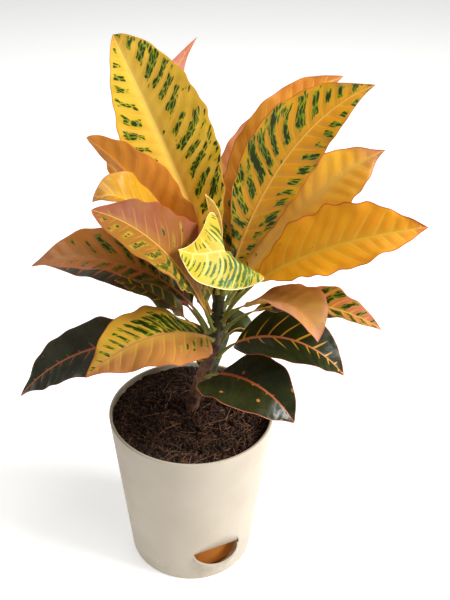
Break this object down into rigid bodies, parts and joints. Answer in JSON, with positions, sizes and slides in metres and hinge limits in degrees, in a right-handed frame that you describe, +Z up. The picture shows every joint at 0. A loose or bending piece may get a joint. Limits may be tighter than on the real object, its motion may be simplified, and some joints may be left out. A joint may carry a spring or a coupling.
{
  "type": "potted croton house plant",
  "caption": "Leafy croton with yellow, orange, pink and dark green variegated leaves on a short stem, in a tapered ivory nursery pot with a watering port.",
  "frame": {"origin": "centre of the flat underside of the pot", "axes": "+Z up, along the pot's axis; -Y towards the front, where the plant is seen in the picture; +X to the right. The watering port looks between -Y and +X, 24 degrees from -Y"},
  "size_m": [0.275, 0.2376, 0.405],
  "materials": {
    "ivory_plastic": "satin",
    "amber_plastic": "satin",
    "coir_soil": "matte",
    "bark": "matte",
    "golden_leaf": "satin",
    "pink_leaf": "satin",
    "young_leaf": "satin",
    "dark_leaf": "satin"
  },
  "bodies": {
    "root": {"pot": "ivory_plastic", "soil_basket": "amber_plastic", "soil": "coir_soil", "stem": "bark", "leaf_top_left": "golden_leaf", "leaf_back_top": "pink_leaf", "leaf_left_upper": "pink_leaf", "leaf_left_mid": "pink_leaf", "leaf_left_mid_behind": "golden_leaf", "leaf_left_long": "pink_leaf", "leaf_left_under": "dark_leaf", "leaf_left_green": "dark_leaf", "leaf_left_front": "golden_leaf", "leaf_left_dark_low": "dark_leaf", "leaf_right_top": "golden_leaf", "leaf_right_top_behind": "golden_leaf", "leaf_back_centre": "pink_leaf", "leaf_right_upper": "golden_leaf", "leaf_right_low_big": "golden_leaf", "leaf_young_folded": "young_leaf", "leaf_young_rolled": "young_leaf", "leaf_right_folded": "pink_leaf", "leaf_right_spotted": "pink_leaf", "leaf_right_back_green": "dark_leaf", "leaf_right_green_big": "dark_leaf", "leaf_right_low_dark": "dark_leaf", "leaf_right_hidden_green": "dark_leaf", "leaf_back_hanging": "dark_leaf", "leaf_back_left": "pink_leaf", "leaf_back_right": "golden_leaf", "leaf_back_mid": "golden_leaf", "leaf_left_back": "pink_leaf", "leaf_back_left_low": "dark_leaf", "leaf_back_right_low": "dark_leaf"}
  },
  "joints": []
}
